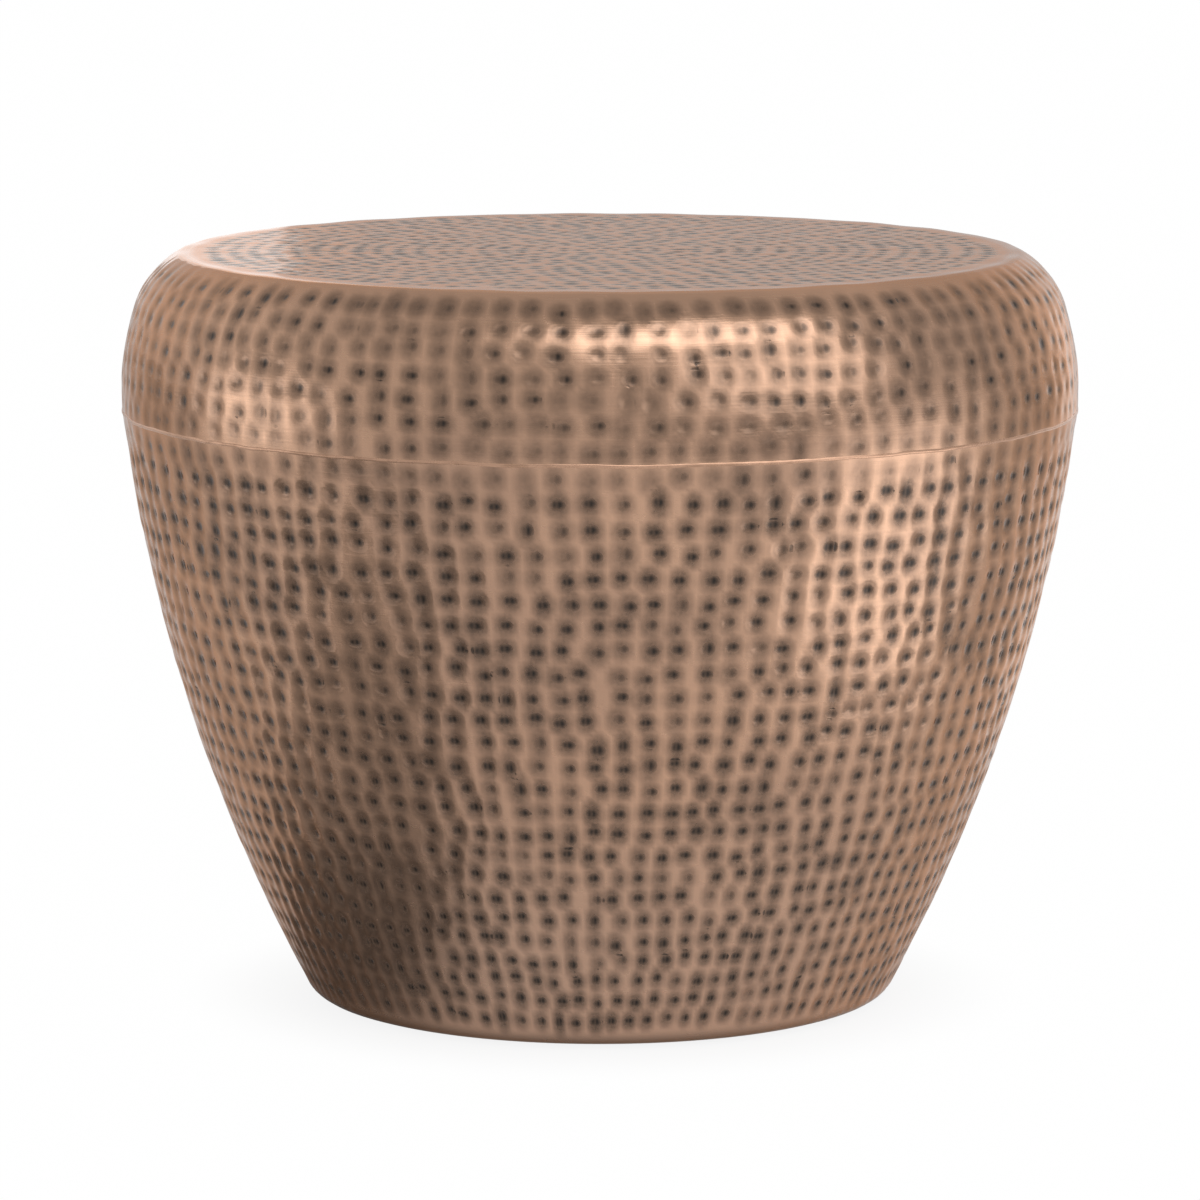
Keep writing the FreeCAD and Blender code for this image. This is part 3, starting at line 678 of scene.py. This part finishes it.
TOP_RING_STEP = 0.0125
TOP_MARK_STEP = 0.014
TOP_STAGGER = 0.15
TOP_BLOW_SHARE = 0.2
TOP_TONE_SHARE = 1.45
TOP_SHORTENING = 1.35
OUTER_RING_REACH = 0.2355
SIDE_ROWS = 7
SIDE_BLOW_SHARE = 0.55
SIDE_ROW_STEP = 0.0139
FIRST_ROW_BELOW_CREASE = 0.0143
TOP_SEED = 17
top_rows = []
ring_reach = OUTER_RING_REACH
while ring_reach > TOP_RING_STEP / 2:
    ring_number = round(FULL_TURN * ring_reach / TOP_MARK_STEP)
    top_rows.append(hammer_row(ring_reach, TOP_RING_STEP, ring_number, TOP_STAGGER * len(top_rows),
                               TOP_BLOW_SHARE, TOP_TONE_SHARE, TOP_SHORTENING))
    ring_reach -= TOP_RING_STEP
crease_end = flat_face[-1][0] + CREASE_ROUND * (math.pi / 2 - SHOULDER_END)
for number in range(SIDE_ROWS):
    ground = GROUND_ROW_SHARE if number == SIDE_ROWS - 1 else SIDE_BLOW_SHARE
    top_rows.append(level_row(number, crease_end + FIRST_ROW_BELOW_CREASE, SIDE_ROW_STEP, ground))
strike(top_shell, top_section, len(top_face), top_rows, np.random.default_rng(TOP_SEED))

dress(top_shell, copper)
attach(top_shell, "root")
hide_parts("top_shell")


# Seam weld
# The two sheets are butted and welded, and the bead is dressed by hand until it is a fine raised thread.
# It is bare filler metal, a little brighter than the sheets, and it wanders by less than its own width.
BEAD_HALF_WIDTH = 0.0011
BEAD_CROWN = 0.00036
BEAD_ROOT = 0.0012
BEAD_UNDERCUT = 0.00015
BEAD_CREASE = math.radians(60)
bead_section = [
    (seam_reach - BEAD_ROOT, seam_height),
    (seam_reach - BEAD_UNDERCUT, seam_height - BEAD_HALF_WIDTH),
    (seam_reach + 0.62 * BEAD_CROWN, seam_height - 0.6 * BEAD_HALF_WIDTH),
    (seam_reach + BEAD_CROWN, seam_height - 0.15 * BEAD_HALF_WIDTH),
    (seam_reach + BEAD_CROWN, seam_height + 0.15 * BEAD_HALF_WIDTH),
    (seam_reach + 0.62 * BEAD_CROWN, seam_height + 0.6 * BEAD_HALF_WIDTH),
    (seam_reach, seam_height + BEAD_HALF_WIDTH),
]
seam_bead = turn_section("seam_weld_bead", bead_section)


def wander(piece, name, direction, size, strength, mid_level):
    """Moves a piece's points about by a soft cloud pattern, and applies it."""
    clouds = bpy.data.textures.new(name, "CLOUDS")
    clouds.noise_scale = size
    clouds.noise_depth = 1
    drift = piece.modifiers.new(name, "DISPLACE")
    drift.texture = clouds
    drift.texture_coords = "LOCAL"
    drift.direction = direction
    drift.strength = strength
    drift.mid_level = mid_level
    bpy.context.view_layer.objects.active = piece
    bpy.ops.object.modifier_apply(modifier=drift.name)


wander(seam_bead, "bead_rise", "Z", size=0.03, strength=0.0018, mid_level=0.5)
wander(seam_bead, "bead_kinks", "NORMAL", size=0.02, strength=0.0001, mid_level=1.0)
smooth(seam_bead, BEAD_CREASE)

# Dressed, plated, coated and moulded finishes are clouded in patches and have a finer grain.
GRAIN_DETAIL = 2.0
finish, finish_in, finish_out = new_group(
    "clouds_and_grain",
    {"Cloud scale": 100.0, "Cloud detail": 3.0, "Grain scale": 900.0},
    ["Clouds", "Grain"])
finish_spot = own_place(finish)
cloud_scale, cloud_detail, grain_scale = finish_in.outputs[:3]
feed(finish, finish_out.inputs[0], noise(finish, finish_spot, cloud_scale, cloud_detail))
feed(finish, finish_out.inputs[1], noise(finish, finish_spot, grain_scale, GRAIN_DETAIL))


def two_tone_material(name, tones, limits, roughness, metallic, raised=None, **pattern):
    """A finish in two tones, with its grain in the roughness and, where it is raised, in the normal."""
    material, tree, surface = new_material(name)
    marks = place_group(tree, finish, **pattern)
    share = remap(tree, marks.outputs["Clouds"], *limits, 0.0, 1.0)
    grain = marks.outputs["Grain"]
    feed(tree, surface.inputs["Base Color"], mix_colours(tree, share, *tones))
    feed(tree, surface.inputs["Roughness"], remap(tree, grain, *GRAIN_LIMITS, *roughness))
    surface.inputs["Metallic"].default_value = metallic
    if raised:
        feed(tree, surface.inputs["Normal"], add_bump(tree, grain, *raised))
    return material


BARE_FILLER = (0.60, 0.365, 0.25, 1)
STAINED_FILLER = (0.47, 0.283, 0.19, 1)
FILLER_STAIN_LIMITS = (0.42, 0.68)
FILLER_ROUGHNESS = (0.26, 0.34)
dressed_weld = two_tone_material(
    "dressed_weld", (BARE_FILLER, STAINED_FILLER), FILLER_STAIN_LIMITS, FILLER_ROUGHNESS, metallic=1.0,
    Cloud_scale=70.0, Cloud_detail=3.0, Grain_scale=420.0)
dress(seam_bead, dressed_weld)
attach(seam_bead, "root")
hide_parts("seam_weld")


# Backing ring and stiffeners
# A rolled strip lines up the two edges behind the seam, and three hat-section bars stiffen the flat top.
# All are plain mill-finish aluminium, hidden inside the drum.
def dress_node(name, material):
    """Gives a carried-over solid its finish."""
    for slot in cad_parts[name].material_slots:
        slot.material = material


MILL_BRIGHT = (0.76, 0.77, 0.78, 1)
MILL_DULL = (0.60, 0.61, 0.63, 1)
MILL_ROUGHNESS = (0.32, 0.5)
mill_aluminium, tree, surface = new_material("mill_aluminium")
drawn = place_group(tree, brushing, Lines_per_metre=500.0, Waves_per_metre=40.0)
mill_stain = remap(tree, drawn.outputs["Cloud"], *CLOUD_LIMITS, 0.0, 1.0)
feed(tree, surface.inputs["Base Color"], mix_colours(tree, mill_stain, MILL_BRIGHT, MILL_DULL))
surface.inputs["Metallic"].default_value = 1.0
feed(tree, surface.inputs["Roughness"], remap(tree, drawn.outputs["Lines"], *GRAIN_LIMITS, *MILL_ROUGHNESS))
for node_name in ("seam_backing_ring", "top_stiffener_main", "top_stiffener_front", "top_stiffener_rear"):
    dress_node(node_name, mill_aluminium)


# Base ring and nuts
# The spun ring sits inside the foot of the drum on the turned-in lip. Eight nuts are welded on top of it for
# the screws that come up through the base plate. The ring is mill aluminium and the nuts are zinc plated.
ZINC_BRIGHT = (0.66, 0.68, 0.70, 1)
ZINC_CLOUDED = (0.50, 0.52, 0.55, 1)
ZINC_ROUGHNESS = (0.26, 0.42)
zinc_plate = two_tone_material(
    "zinc_plate", (ZINC_BRIGHT, ZINC_CLOUDED), CLOUD_LIMITS, ZINC_ROUGHNESS, metallic=1.0,
    Cloud_scale=260.0, Cloud_detail=4.0, Grain_scale=900.0)
dress_node("base_ring", mill_aluminium)
dress_node("weld_nuts", zinc_plate)


# Base plate and its screws
# A steel disc with a black powder coat closes the drum from below. Four zinc-plated pan-head screws go up
# through it and hold it to the ring.
COAT_BLACK = (0.020, 0.020, 0.021, 1)
COAT_DUSTED = (0.042, 0.041, 0.040, 1)
COAT_ROUGHNESS = (0.48, 0.62)
COAT_PEEL_DEPTH = 0.0001
COAT_PEEL_STRENGTH = 0.4
DUST_LIMITS = (0.45, 0.75)
powder_coat = two_tone_material(
    "powder_coat", (COAT_BLACK, COAT_DUSTED), DUST_LIMITS, COAT_ROUGHNESS, metallic=0.0,
    raised=(COAT_PEEL_DEPTH, COAT_PEEL_STRENGTH),
    Cloud_scale=14.0, Cloud_detail=5.0, Grain_scale=850.0)
dress_node("base_plate", powder_coat)
dress_node("plate_screws", zinc_plate)


# Feet
# Four moulded rubber feet stand on the floor. Each is held by a zinc-plated screw and a washer down in its
# recess.
RUBBER_BLACK = (0.022, 0.022, 0.023, 1)
RUBBER_BLOOM = (0.055, 0.054, 0.053, 1)
RUBBER_ROUGHNESS = (0.66, 0.84)
RUBBER_GRAIN_DEPTH = 0.00008
RUBBER_GRAIN_STRENGTH = 0.3
moulded_rubber = two_tone_material(
    "moulded_rubber", (RUBBER_BLACK, RUBBER_BLOOM), DUST_LIMITS, RUBBER_ROUGHNESS, metallic=0.0,
    raised=(RUBBER_GRAIN_DEPTH, RUBBER_GRAIN_STRENGTH),
    Cloud_scale=90.0, Cloud_detail=4.0, Grain_scale=1500.0)
for node_name in ("foot_front_left", "foot_front_right", "foot_rear_left", "foot_rear_right"):
    dress_node(node_name, moulded_rubber)
for node_name in ("foot_washers", "foot_screws"):
    dress_node(node_name, zinc_plate)


# Studio
# A pale floor in a white surround. A large softbox hangs high on the right of the camera, a second stands
# lower on the right and a third low on the left, and dim panels and reflectors stand behind and beside.
FLOOR_SIZE = 60.0
FLOOR_GREY = (0.82, 0.82, 0.82, 1)
FLOOR_ROUGHNESS = 0.6
WHITE_FROM = (0.17, 0.265)
WHITE_SHARES = (0.88, 0.995)
MIRRORED_WHITE = 0.22
bpy.ops.object.select_all(action="DESELECT")
bpy.ops.mesh.primitive_plane_add(size=FLOOR_SIZE)
floor = bpy.context.object
floor.name = "floor"
floor_paint, tree, surface = new_material("floor_paint")
surface.inputs["Base Color"].default_value = FLOOR_GREY
surface.inputs["Roughness"].default_value = FLOOR_ROUGHNESS
rays = add_node(tree, "ShaderNodeLightPath")
white = add_node(tree, "ShaderNodeEmission")
whitened = add_node(tree, "ShaderNodeMixShader")
white_share = remap(tree, vector_length(tree, own_place(tree)), *WHITE_FROM, *WHITE_SHARES)
seen_share = calculate(tree, "MULTIPLY", rays.outputs["Is Camera Ray"], white_share)
mirrored = calculate(tree, "MAXIMUM", rays.outputs["Is Glossy Ray"], rays.outputs["Is Transmission Ray"])
mirrored_share = calculate(tree, "MULTIPLY", mirrored, MIRRORED_WHITE)
feed(tree, whitened.inputs[0], calculate(tree, "MAXIMUM", seen_share, mirrored_share))
feed(tree, whitened.inputs[1], surface.outputs[0])
feed(tree, whitened.inputs[2], white.outputs[0])
feed(tree, tree.nodes["Material Output"].inputs["Surface"], whitened.outputs[0])
dress(floor, floor_paint)

CEILING_RISE = (0.7, 0.97)
CEILING_LIGHT = (0.64, 0.5)
world = bpy.data.worlds.new("studio")
bpy.context.scene.world = world
world.use_nodes = True
tree = world.node_tree
background = tree.nodes["Background"]
background.inputs["Color"].default_value = (1, 1, 1, 1)
rays = add_node(tree, "ShaderNodeLightPath")
direction = add_node(tree, "ShaderNodeTexCoord").outputs["Generated"]


def wall_glow(towards, low, high, brightness):
    """A soft brighter stretch of the surround."""
    facing = add_node(tree, "ShaderNodeVectorMath", operation="DOT_PRODUCT")
    feed(tree, facing.inputs[0], direction)
    facing.inputs[1].default_value = towards
    return remap(tree, facing.outputs["Value"], low, high, 0.0, brightness)


right_glow = wall_glow(towards=(0.56, 0.828, 0), low=0.88, high=0.99, brightness=0.3)
left_glow = wall_glow(towards=(-0.78, 0.62, 0.1), low=0.75, high=0.95, brightness=0.22)
ceiling = remap(tree, split_place(tree, direction)[2], *CEILING_RISE, *CEILING_LIGHT)
surround = calculate(tree, "ADD", calculate(tree, "ADD", right_glow, left_glow), ceiling)
shown = calculate(tree, "MAXIMUM", rays.outputs["Is Camera Ray"], rays.outputs["Is Transmission Ray"])
feed(tree, background.inputs["Strength"], mix_numbers(tree, shown, surround, 1.0))

LIGHT_TARGET = (0, 0, 0.28)


def softbox(name, azimuth, elevation, distance, width, height, brightness, soft_edge=0.4):
    """An area light that faces the drum. Azimuth counts from the camera's side towards the right."""
    turn = math.radians(azimuth)
    rise = math.radians(elevation)
    away = (math.sin(turn) * math.cos(rise), -math.cos(turn) * math.cos(rise), math.sin(rise))
    place = [target + distance * step for target, step in zip(LIGHT_TARGET, away)]
    bpy.ops.object.light_add(type="AREA", location=place, rotation=(math.pi / 2 - rise, 0, turn))
    lamp = bpy.context.object
    lamp.name = name
    lamp.visible_camera = False
    lamp.data.shape = "RECTANGLE"
    lamp.data.size = width
    lamp.data.size_y = height
    lamp.data.energy = brightness * math.pi * width * height
    lamp.data.use_nodes = True
    tree = lamp.data.node_tree
    shares = split_place(tree, add_node(tree, "ShaderNodeNewGeometry").outputs["Parametric"])
    edges = []
    for share in shares[:2]:
        from_centre = calculate(tree, "ABSOLUTE", calculate(tree, "SUBTRACT", share, 0.5))
        edges.append(remap(tree, from_centre, 0.5 - soft_edge, 0.5, 1.0, 0.0))
    feed(tree, tree.nodes["Emission"].inputs["Strength"], calculate(tree, "MULTIPLY", edges[0], edges[1]))


softbox("key_softbox", azimuth=26, elevation=47, distance=2.6, width=3.9, height=1.9, brightness=2.1)
softbox("right_softbox", azimuth=43, elevation=20, distance=2.2, width=2.5, height=1.5, brightness=1.1)
softbox("low_right_reflector", azimuth=62, elevation=-10.5, distance=0.66, width=0.6, height=0.64,
        brightness=1.0)
softbox("left_softbox", azimuth=-81, elevation=2.5, distance=1.6, width=1.4, height=0.7, brightness=0.95)
softbox("back_left_panel", azimuth=-166.6, elevation=18, distance=2.16, width=0.42, height=1.4,
        brightness=0.62, soft_edge=0.03)
softbox("back_right_reflector", azimuth=146, elevation=-2, distance=2.2, width=1.2, height=0.8,
        brightness=0.5)
softbox("low_back_reflector", azimuth=124, elevation=-14, distance=0.56, width=0.55, height=0.36,
        brightness=0.3)

# A soft-edged dark flag lies low on the left and is seen only in reflections. It is painted shade, standing
# in for the drum's shadow on the floor there, and shapes the reflections and nothing else.
FLAG_LENGTH = 0.62
FLAG_WIDTH = 0.28
FLAG_PLACE = (-0.5, -0.34, 0.003)
FLAG_TURN = math.radians(41)
FLAG_CORNERS = 48
PAINTED_SHADE_GREY = (0.06, 0.06, 0.06, 1)
FLAG_ROUGHNESS = 0.9
FLAG_FADE = (0.62, 0.95)
FLAG_THINS = (0.15, 0.36)
FLAG_WEIGHTS = (0.48, 0.78)
bpy.ops.object.select_all(action="DESELECT")
bpy.ops.mesh.primitive_circle_add(vertices=FLAG_CORNERS, radius=1.0, fill_type="NGON")
flag = bpy.context.object
flag.name = "painted_shade_flag"
flag.scale = (FLAG_LENGTH, FLAG_WIDTH, 1)
flag.location = FLAG_PLACE
flag.rotation_euler = (0, 0, FLAG_TURN)
bpy.ops.object.transform_apply(location=False, rotation=False, scale=True)
flag.visible_camera = False
flag.visible_diffuse = False
flag.visible_shadow = False
flag.visible_transmission = False
painted_shade_sheet, tree, surface = new_material("painted_shade_sheet")
surface.inputs["Base Color"].default_value = PAINTED_SHADE_GREY
surface.inputs["Roughness"].default_value = FLAG_ROUGHNESS
flag_spot = own_place(tree)
flag_shares = add_node(tree, "ShaderNodeMapping")
feed(tree, flag_shares.inputs["Vector"], flag_spot)
flag_shares.inputs["Scale"].default_value = (1 / FLAG_LENGTH, 1 / FLAG_WIDTH, 1)
flag_fade = remap(tree, vector_length(tree, flag_shares.outputs[0]), *FLAG_FADE, 1.0, 0.0)
flag_weight = remap(tree, split_place(tree, flag_spot)[0], *FLAG_THINS, *FLAG_WEIGHTS)
feed(tree, surface.inputs["Alpha"], calculate(tree, "MULTIPLY", flag_fade, flag_weight))
dress(flag, painted_shade_sheet)

# The camera stands where the photograph was taken from.
CAMERA_DISTANCE = 3.7948
CAMERA_HEIGHT = 0.8143
CAMERA_PITCH = math.radians(8.571)
CAMERA_LENS = 187.65
CAMERA_SENSOR = 36.0
bpy.ops.object.camera_add(location=(0, -CAMERA_DISTANCE, CAMERA_HEIGHT),
                          rotation=(math.pi / 2 - CAMERA_PITCH, 0, 0))
camera = bpy.context.object
camera.data.sensor_width = CAMERA_SENSOR
camera.data.lens = CAMERA_LENS
bpy.context.scene.camera = camera
bpy.context.scene.view_settings.view_transform = "Standard"
